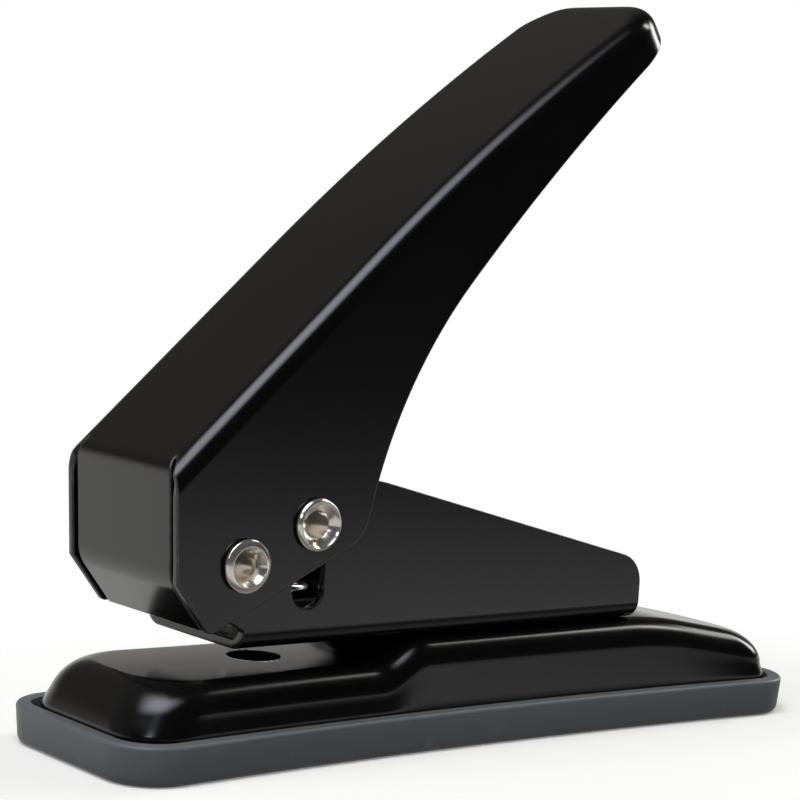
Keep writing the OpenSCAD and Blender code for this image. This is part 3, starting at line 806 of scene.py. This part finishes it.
def hollow_rivet_profile(grip, mouth_r, bore_r, funnel_depth):
    """Half-hollow rivet: low head behind, shank, and a sloping ring with lip, funnel and bore in front."""
    half = grip / 2
    end = half + RIVET_HEAD_H
    ring_top = end - RIVET_RING_FALL - RIVET_RIM
    ring_r = RIVET_HEAD_R - RIVET_RIM
    profile = low_head(RIVET_HEAD_R, RIVET_HEAD_H, -half, -1)
    profile += [(RIVET_SHANK_R, -half), (RIVET_SHANK_R, half)]
    profile.append((ring_r, half))
    for a in spread(-math.pi / 2, RIVET_RIM_TURN, RIM_STEPS):
        profile.append((ring_r + RIVET_RIM * math.cos(a), ring_top + RIVET_RIM * math.sin(a)))
    lip = RIVET_LIP
    for a in spread(0, RIVET_RIM_TURN, LIP_STEPS):
        profile.append((mouth_r + lip - lip * math.sin(a), end - lip + lip * math.cos(a)))
    for share in spread(0, 1, FUNNEL_STEPS)[1:]:
        narrowed = mouth_r + (bore_r - mouth_r) * share ** FUNNEL_BOW
        profile.append((narrowed, end - lip - (funnel_depth - lip) * share))
    profile += [(bore_r, end - RIVET_BORE_DEPTH), (0.0, end - RIVET_BORE_DEPTH)]
    return profile


def rivet_piece(name, profile, axis, first, count, pitch, finish):
    """Rivets of one kind on one body."""
    turned_rivet = lathe(name, profile, axis)
    values = {"Count": count, "First": first, "Pitch": pitch, "Finish": finish}
    return grow(turned_rivet, rivet_rows, values)


# Finishes: colours as red, green and blue shares, roughness, bump depths and grains per metre

ENAMEL_IOR = 1.5
ENAMEL_CLOUDS = 40
ENAMEL_GRAIN = 2600
ORANGE_PEEL = 420
THIN_PATCHES = 380
DUST_SPECKS = 3300
DUST_SHARE = 0.25
ENAMEL_DARK = (0.0042, 0.0040, 0.0038)
ENAMEL_PALE = (0.0054, 0.0051, 0.0048)
DUST = (0.07, 0.066, 0.06)
# Paler thin enamel on the edges: partly real wear, partly a painted highlight.
THIN_ENAMEL_AND_HIGHLIGHT = (0.10, 0.096, 0.09)
THIN_AND_HIGHLIGHT_SHARE = 0.8
WEAR_ROUGHNESS = 0.12
PEEL_DEPTH = 0.006 * MM
GRAIN_DEPTH = 0.003 * MM
RIPPLE_DEPTH = 0.03 * MM
METAL_CLOUDS = 420
NICKEL_PALE = (0.98, 0.92, 0.83)
NICKEL_DARK = (0.90, 0.84, 0.74)
STEEL_PALE = (0.56, 0.56, 0.56)
STEEL_DARK = (0.42, 0.42, 0.425)
PLASTIC_IOR = 1.5
PLASTIC_CLOUDS = 45
SPARK_GRAIN = 3000
RUBBED_PATCHES = 240
RUBBED_SHARE = 0.5
PLASTIC_DARK = (0.140, 0.155, 0.155)
PLASTIC_PALE = (0.156, 0.171, 0.171)
# Painted shade: the tray darkens towards its foot.
PLASTIC_FOOT_SHADE = (0.084, 0.093, 0.095)
PLASTIC_RUBBED = (0.175, 0.190, 0.191)
FOOT_SHADE_SHARE = 0.85
SPARK_DEPTH = 0.006 * MM


def finish_tree(name):
    """New material: its node tree, shader and object coordinates."""
    material = bpy.data.materials.new(name)
    material.use_nodes = True
    tree = material.node_tree
    shader = tree.nodes["Principled BSDF"]
    coords = tree.nodes.new("ShaderNodeTexCoord").outputs["Object"]
    return material, tree, shader, coords


def noise(tree, coords, scale, detail=3.0, rough=0.55):
    """Grey noise at a number of grains per metre."""
    node = tree.nodes.new("ShaderNodeTexNoise")
    node.inputs["Scale"].default_value = scale
    node.inputs["Detail"].default_value = detail
    node.inputs["Roughness"].default_value = rough
    tree.links.new(coords, node.inputs["Vector"])
    return node.outputs["Fac"]


def ranged(tree, value, low, high, to_low, to_high):
    """Value mapped from one range to another and held there."""
    node = tree.nodes.new("ShaderNodeMapRange")
    node.inputs["From Min"].default_value = low
    node.inputs["From Max"].default_value = high
    node.inputs["To Min"].default_value = to_low
    node.inputs["To Max"].default_value = to_high
    tree.links.new(value, node.inputs["Value"])
    return node.outputs["Result"]


def combined(tree, operation, a, b):
    """Two values joined by one step of arithmetic."""
    node = tree.nodes.new("ShaderNodeMath")
    node.operation = operation
    for socket, value in zip(node.inputs, (a, b)):
        if isinstance(value, (int, float)):
            socket.default_value = value
        else:
            tree.links.new(value, socket)
    return node.outputs["Value"]


def vector_node(tree, operation, value, fixed=None):
    """One step of vector arithmetic, with a fixed second vector where it takes one."""
    node = tree.nodes.new("ShaderNodeVectorMath")
    node.operation = operation
    tree.links.new(value, node.inputs[0])
    if fixed is not None:
        node.inputs[1].default_value = fixed
    return node


def split(tree, value):
    """The X, Y and Z of a vector."""
    node = tree.nodes.new("ShaderNodeSeparateXYZ")
    tree.links.new(value, node.inputs["Vector"])
    return node.outputs


def tinted(tree, share, colour_a, colour_b):
    """Mix of two colours by a share; each is a fixed colour or a socket."""
    node = tree.nodes.new("ShaderNodeMix")
    node.data_type = "RGBA"
    tree.links.new(share, node.inputs["Factor"])
    for socket, colour in ((node.inputs[6], colour_a), (node.inputs[7], colour_b)):
        if isinstance(colour, tuple):
            socket.default_value = (*colour, 1.0)
        else:
            tree.links.new(colour, socket)
    return node.outputs[2]


def raised(tree, height, depth, strength, under=None):
    """Bump of a real depth, laid over another one."""
    node = tree.nodes.new("ShaderNodeBump")
    node.inputs["Distance"].default_value = depth
    node.inputs["Strength"].default_value = strength
    tree.links.new(height, node.inputs["Height"])
    if under is not None:
        tree.links.new(under, node.inputs["Normal"])
    return node.outputs["Normal"]


def black_enamel(name, rough_low, rough_high):
    """Stoved black enamel on steel: faint orange peel, fine grain, dust, and paler thin paint on the edges
    that is partly wear and partly a painted highlight.
    """
    material, tree, shader, coords = finish_tree(name)
    link = tree.links.new
    cloud = noise(tree, coords, ENAMEL_CLOUDS, 2)
    grain = noise(tree, coords, ENAMEL_GRAIN, 2)
    peel = noise(tree, coords, ORANGE_PEEL, 1)
    worn_and_highlit = tree.nodes.new("ShaderNodeAttribute")
    worn_and_highlit.attribute_name = "edge_wear_and_highlight"
    patch = ranged(tree, noise(tree, coords, THIN_PATCHES, 4), 0.36, 0.64, 0.3, 1.0)
    # Edge mark: wear and a painted highlight together.
    wear_and_highlight = combined(tree, "MULTIPLY", worn_and_highlit.outputs["Fac"], patch)
    paint = tinted(tree, ranged(tree, cloud, 0.35, 0.7, 0, 1), ENAMEL_DARK, ENAMEL_PALE)
    specks = ranged(tree, noise(tree, coords, DUST_SPECKS, 1), 0.76, 0.84, 0.0, DUST_SHARE)
    dusty = tinted(tree, specks, paint, DUST)
    thin_and_highlight = combined(tree, "MULTIPLY", wear_and_highlight, THIN_AND_HIGHLIGHT_SHARE)
    link(tinted(tree, thin_and_highlight, dusty, THIN_ENAMEL_AND_HIGHLIGHT), shader.inputs["Base Color"])
    even = ranged(tree, cloud, 0.3, 0.7, rough_low, rough_high)
    gloss = combined(tree, "ADD", even, combined(tree, "MULTIPLY", wear_and_highlight, WEAR_ROUGHNESS))
    link(gloss, shader.inputs["Roughness"])
    normal = raised(tree, peel, PEEL_DEPTH, 0.3)
    link(raised(tree, grain, GRAIN_DEPTH, 0.4, normal), shader.inputs["Normal"])
    shader.inputs["IOR"].default_value = ENAMEL_IOR
    return material


def bright_metal(name, pale, dark, metallic, rough_low, rough_high, grain_scale):
    """Plated or ground metal: tint clouds, fine scratches and a slight ripple."""
    material, tree, shader, coords = finish_tree(name)
    link = tree.links.new
    cloud = noise(tree, coords, METAL_CLOUDS, 4)
    fine = noise(tree, coords, grain_scale, 3)
    shader.inputs["Metallic"].default_value = metallic
    link(tinted(tree, ranged(tree, cloud, 0.35, 0.7, 0, 1), pale, dark), shader.inputs["Base Color"])
    link(ranged(tree, fine, 0.3, 0.7, rough_low, rough_high), shader.inputs["Roughness"])
    normal = raised(tree, cloud, RIPPLE_DEPTH, 0.25)
    link(raised(tree, fine, GRAIN_DEPTH, 0.4, normal), shader.inputs["Normal"])
    return material


def tray_plastic():
    """Satin moulded plastic: fine spark grain, slight clouding, rubbed patches, and painted shade that
    darkens it towards the foot.
    """
    material, tree, shader, coords = finish_tree("tray_plastic")
    link = tree.links.new
    cloud = noise(tree, coords, PLASTIC_CLOUDS, 4)
    grain = noise(tree, coords, SPARK_GRAIN, 2)
    rub = ranged(tree, noise(tree, coords, RUBBED_PATCHES, 5), 0.55, 0.75, 0.0, RUBBED_SHARE)
    body = tinted(tree, ranged(tree, cloud, 0.3, 0.7, 0, 1), PLASTIC_DARK, PLASTIC_PALE)
    # Painted shade, darker towards the foot.
    foot_shade = ranged(tree, split(tree, coords)["Z"], 0.0, tray_rim - TRAY_LIP_R, FOOT_SHADE_SHARE, 0.0)
    foot_shaded = tinted(tree, foot_shade, body, PLASTIC_FOOT_SHADE)
    link(tinted(tree, rub, foot_shaded, PLASTIC_RUBBED), shader.inputs["Base Color"])
    link(ranged(tree, cloud, 0.3, 0.7, 0.36, 0.46), shader.inputs["Roughness"])
    link(raised(tree, grain, SPARK_DEPTH, 0.6), shader.inputs["Normal"])
    shader.inputs["IOR"].default_value = PLASTIC_IOR
    return material


# Finishes in use

enamel = black_enamel("black_enamel", rough_low=0.15, rough_high=0.17)
satin_enamel = black_enamel("satin_enamel", rough_low=0.16, rough_high=0.19)
nickel = bright_metal("nickel", NICKEL_PALE, NICKEL_DARK, metallic=0.84,
                      rough_low=0.11, rough_high=0.22, grain_scale=2400)
steel = bright_metal("steel", STEEL_PALE, STEEL_DARK, metallic=1.0,
                     rough_low=0.22, rough_high=0.4, grain_scale=2800)
plastic = tray_plastic()
rivet_rows = rivet_row_tree()


def dress(obj, body, node, finish=None):
    """A finished piece stands for its node, rides on its body and carries its finish."""
    if finish is not None:
        obj.data.materials.clear()
        obj.data.materials.append(finish)
    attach(obj, body)
    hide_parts(node)
    return obj


# Sheet pieces and tray

dress(lever_piece(), "lever", "lever", enamel)
dress(frame_piece(), "base", "frame", enamel)
dress(dome_piece(), "base", "base_plate", satin_enamel)
dress(tray_piece(), "tray", "chip_tray", plastic)

# Hollow rivets at the pivot and the drive

pivot_low, pivot_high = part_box("pivot_rivet")
pivot_grip = pivot_high.y - pivot_low.y - 2 * RIVET_HEAD_H
drive_grip = drive_high.y - drive_low.y - 2 * RIVET_HEAD_H
pivot_profile = hollow_rivet_profile(pivot_grip, PIVOT_MOUTH_R, PIVOT_BORE_R, PIVOT_FUNNEL)
drive_profile = hollow_rivet_profile(drive_grip, DRIVE_MOUTH_R, DRIVE_BORE_R, DRIVE_FUNNEL)
alone = Vector((0, 0, 0))
pivot_rivet = rivet_piece("pivot_rivet_turned", pivot_profile, NEAR, pivot, 1, alone, nickel)
drive_rivet = rivet_piece("drive_rivet_turned", drive_profile, NEAR, drive, 1, alone, nickel)
dress(pivot_rivet, "base", "pivot_rivet")
dress(drive_rivet, "lever", "drive_rivet")

# Rivets that hold the frame on the dome

fixing_low, fixing_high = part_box("frame_rivets")
fixing_head_r = (fixing_high.y - fixing_low.y) / 2
web_top = rear_deck + FRAME_SHEET
web_under = rear_deck - DOME_SHEET
fixing_profile = low_head(fixing_head_r, FIXING_HEAD_H, web_under, -1)
fixing_profile += [(FIXING_SHANK_R, web_under), (FIXING_SHANK_R, web_top)]
fixing_profile += low_head(fixing_head_r, FIXING_HEAD_H, web_top, 1)[::-1]
fixing_first = Vector((fixing_low.x + fixing_head_r, 0, 0))
fixing_pitch = Vector((fixing_high.x - fixing_low.x - 2 * fixing_head_r, 0, 0))
fixings = rivet_piece("fixing_rivets_turned", fixing_profile, UP, fixing_first, 2, fixing_pitch, steel)
dress(fixings, "base", "frame_rivets")

# Return spring, which shortens as the punch goes down

spring_mesh = bpy.data.meshes.new("coil_spring")
spring = bpy.data.objects.new("coil_spring", spring_mesh)
bpy.context.scene.collection.objects.link(spring)
coil_r = (spring_high.y - spring_low.y - WIRE_D) / 2
spring_foot = Vector((punch_axis.x, 0, spring_low.z + WIRE_D / 2))
grow(spring, spring_tree(), {
    "Coil radius": coil_r,
    "Wire radius": WIRE_D / 2,
    "Turns": SPRING_TURNS,
    "Height": spring_high.z - spring_low.z - WIRE_D - SPRING_EASE,
    "Foot": spring_foot,
    "Start angle": SPRING_START,
    "Finish": nickel,
})
spring.data.shade_smooth()
dress(spring, "base", "return_spring")
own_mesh(spring)

# Plain steel pieces, as constructed

for name in ("die_plate", "guide_bush", "pivot_sleeve", "punch", "spring_clip"):
    node = frame["nodes"][name]
    node.data.materials.clear()
    node.data.materials.append(steel)


# Camera at the photograph's viewing angle

FOCAL_PIXELS = 2517.38
FRAME_PIXELS = 800
SENSOR = 36.0
CAMERA_AT = Vector((-198.090, -241.044, 69.137)) * MM
CAMERA_RIGHT = Vector((0.78517, -0.61635, 0.06014))
CAMERA_UP = Vector((0.00921, 0.10873, 0.99403))
NEAR_CLIP = 0.01
camera_data = bpy.data.cameras.new("camera")
camera_data.sensor_width = SENSOR
camera_data.lens = FOCAL_PIXELS / FRAME_PIXELS * SENSOR
camera_data.clip_start = NEAR_CLIP
camera = bpy.data.objects.new("camera", camera_data)
bpy.context.scene.collection.objects.link(camera)
camera_back = CAMERA_RIGHT.cross(CAMERA_UP)
facing = Matrix((CAMERA_RIGHT, CAMERA_UP, camera_back)).transposed().to_4x4()
camera.matrix_world = Matrix.Translation(CAMERA_AT) @ facing
bpy.context.scene.camera = camera


# Floor, light and background

WHITE = (1.0, 1.0, 1.0)
BLACK = (0.0, 0.0, 0.0)
FLOOR_R = 1.6
FLOOR_SIDES = 96
FLOOR_ROUGHNESS = 0.9
FLOOR_SEEN = (1.0, 0.98, 0.88)
FLOOR_BOUNCE = (0.4, 0.4, 0.39)
FLOOR_LIFT = 0.2
SHADOW_REACH = 0.058
WHITE_FROM = 0.11
SHADOW_STRETCH = (1.0, 1.7, 1.0)
# The floor as gloss sees it glows: a painted reflection with painted shadow beside the punch and painted
# shade to the front and far front right.
FRONT_RIGHT = (0.62, -0.78, 0.0)
FLOOR_FADE = 0.185
FADE_POWER = 3.0
SIDE_SHADE = 0.08
SIDE_SHADE_SPAN = (-0.05, -0.036)
FRONT_SHADE = 0.6
FRONT_SHADE_SPAN = (-0.03, 0.04)
FLOOR_LEVEL = 0.85
FLOOR_LEAST = 0.03
FLOOR_BEHIND = (0.95, 0.94, 0.92)
BEHIND_SPAN = (-0.03, 0.03)


def painted_gloss_floor(tree, coords):
    """Painted reflection of the floor for gloss: painted shadow, dark beside the punch, painted shade far to
    the front right, and pale behind.
    """
    along = vector_node(tree, "DOT_PRODUCT", coords, FRONT_RIGHT).outputs["Value"]
    place = split(tree, coords)
    ahead = combined(tree, "MAXIMUM", combined(tree, "DIVIDE", along, FLOOR_FADE), 0.0)
    falling = combined(tree, "ADD", combined(tree, "POWER", ahead, FADE_POWER), 1.0)
    fade = combined(tree, "DIVIDE", 1.0, falling)
    side_shade = ranged(tree, place["Y"], *SIDE_SHADE_SPAN, 1.0, SIDE_SHADE)
    front_shade = ranged(tree, place["X"], *FRONT_SHADE_SPAN, FRONT_SHADE, 1.0)
    shade = combined(tree, "MULTIPLY", side_shade, front_shade)
    shaded = combined(tree, "MULTIPLY", combined(tree, "MULTIPLY", fade, shade), FLOOR_LEVEL)
    front_level = combined(tree, "ADD", shaded, FLOOR_LEAST)
    before = ranged(tree, place["Y"], *BEHIND_SPAN, 1.0, 0.0)
    return tinted(tree, before, FLOOR_BEHIND, front_level)


def floor_piece():
    """Pale round floor: it keeps the near shadow, is white further out, and to gloss it glows as a painted
    floor with the punch's shadow painted in.
    """
    bm = bmesh.new()
    face(bm, [Vector((*(turned(a) * FLOOR_R), 0)) for a in spread(0, math.tau, FLOOR_SIDES)[:-1]])
    floor = piece_from("floor", bm, Vector((0, 0, -1)))
    material, tree, shader, coords = finish_tree("floor_white")
    link = tree.links.new
    rays = tree.nodes.new("ShaderNodeLightPath").outputs
    by_camera = rays["Is Camera Ray"]
    in_gloss = combined(tree, "MAXIMUM", rays["Is Glossy Ray"], rays["Is Transmission Ray"])
    shader.inputs["Roughness"].default_value = FLOOR_ROUGHNESS
    shader.inputs["Specular IOR Level"].default_value = 0.0
    shader.inputs["Emission Color"].default_value = (*WHITE, 1.0)
    link(combined(tree, "MULTIPLY", by_camera, FLOOR_LIFT), shader.inputs["Emission Strength"])
    link(tinted(tree, by_camera, FLOOR_BOUNCE, FLOOR_SEEN), shader.inputs["Base Color"])
    stretched = vector_node(tree, "MULTIPLY", coords, SHADOW_STRETCH).outputs["Vector"]
    away = vector_node(tree, "LENGTH", stretched).outputs["Value"]
    open_floor = ranged(tree, away, SHADOW_REACH, WHITE_FROM, 0.0, 1.0)
    white = combined(tree, "MULTIPLY", by_camera, open_floor)
    # Gloss sees the glowing painted floor, its shadows painted in.
    glow = tree.nodes.new("ShaderNodeEmission")
    link(tinted(tree, in_gloss, WHITE, painted_gloss_floor(tree, coords)), glow.inputs["Color"])
    mix = tree.nodes.new("ShaderNodeMixShader")
    link(combined(tree, "MAXIMUM", white, in_gloss), mix.inputs["Fac"])
    link(shader.outputs["BSDF"], mix.inputs[1])
    link(glow.outputs["Emission"], mix.inputs[2])
    link(mix.outputs["Shader"], tree.nodes["Material Output"].inputs["Surface"])
    floor.data.materials.append(material)


LAMP_AIM = Vector((0, 0, 0.045))
LAMP_DISTANCE = 0.9


def soft_edge(tree, place, reach):
    """Brightness across a lamp, full in the middle and fading to nothing at both rims."""
    off = combined(tree, "ABSOLUTE", combined(tree, "SUBTRACT", place, 0.5), 0.0)
    node = tree.nodes.new("ShaderNodeMapRange")
    node.interpolation_type = "SMOOTHSTEP"
    node.inputs["From Min"].default_value = 0.5
    node.inputs["From Max"].default_value = 0.5 - reach
    tree.links.new(off, node.inputs["Value"])
    return node.outputs["Result"]


def softbox(name, way, width, height, radiance, colour, fade):
    """Soft lamp seen from the punch in a direction and turned to it; it fades towards its rims."""
    lamp = bpy.data.lights.new(name, "AREA")
    lamp.shape = "RECTANGLE"
    lamp.size = width
    lamp.size_y = height
    lamp.energy = radiance * math.pi * width * height
    lamp.color = colour
    lamp.use_nodes = True
    tree = lamp.node_tree
    place = split(tree, tree.nodes.new("ShaderNodeNewGeometry").outputs["Parametric"])
    across = soft_edge(tree, place["X"], fade)
    along = soft_edge(tree, place["Y"], fade)
    tree.links.new(combined(tree, "MULTIPLY", across, along), tree.nodes["Emission"].inputs["Strength"])
    obj = bpy.data.objects.new(name, lamp)
    obj.location = LAMP_AIM + way.normalized() * LAMP_DISTANCE
    obj.rotation_mode = "QUATERNION"
    obj.rotation_quaternion = (-way).to_track_quat("-Z", "Y")
    obj.visible_camera = False
    bpy.context.scene.collection.objects.link(obj)


BACKDROP = (1.0, 0.95, 0.89)
BACKDROP_TOP = 0.26
BACKDROP_HIGH = 0.14
BACKDROP_TURN = 0.25
BACKDROP_SPAN = (0.1, 0.6)
BACKDROP_LEAST = 0.02
EVEN_LIGHT = (0.16, 0.16, 0.16)


def studio_world():
    """White to the camera, a pale low backdrop behind in reflections, and a faint even light elsewhere."""
    world = bpy.data.worlds.new("studio")
    bpy.context.scene.world = world
    world.use_nodes = True
    tree = world.node_tree
    link = tree.links.new
    tree.nodes.clear()
    output = tree.nodes.new("ShaderNodeOutputWorld")
    light = tree.nodes.new("ShaderNodeBackground")
    paths = tree.nodes.new("ShaderNodeLightPath")
    x, y, z = split(tree, tree.nodes.new("ShaderNodeTexCoord").outputs["Generated"])
    low_band = ranged(tree, z, 0.0, BACKDROP_TOP, 1.0, BACKDROP_HIGH)
    rearward = combined(tree, "SUBTRACT", y, combined(tree, "MULTIPLY", x, BACKDROP_TURN))
    behind = ranged(tree, rearward, *BACKDROP_SPAN, BACKDROP_LEAST, 1.0)
    seen = combined(tree, "MULTIPLY", low_band, behind)
    shown = tinted(tree, seen, BLACK, BACKDROP)
    even = tinted(tree, paths.outputs["Is Glossy Ray"], EVEN_LIGHT, shown)
    link(tinted(tree, paths.outputs["Is Camera Ray"], even, WHITE), light.inputs["Color"])
    link(light.outputs["Background"], output.inputs["Surface"])


floor_piece()
softbox("overhead_softbox", Vector((-0.41, -0.16, 0.898)),
        width=1.0, height=1.0, radiance=5.9, colour=(0.87, 0.89, 1.0), fade=0.43)
softbox("side_strip", Vector((0.745, -0.1, 0.66)),
        width=0.2, height=0.36, radiance=9.0, colour=(1.0, 0.95, 0.86), fade=0.4)
softbox("rear_window", Vector((0.93, 0.06, 0.34)),
        width=0.3, height=0.6, radiance=7.0, colour=(0.97, 1.0, 0.98), fade=0.3)
softbox("front_window", Vector((-0.67, -0.51, 0.39)),
        width=0.26, height=0.26, radiance=6.0, colour=(0.82, 0.88, 1.0), fade=0.4)
studio_world()
bpy.context.scene.view_settings.view_transform = "Standard"
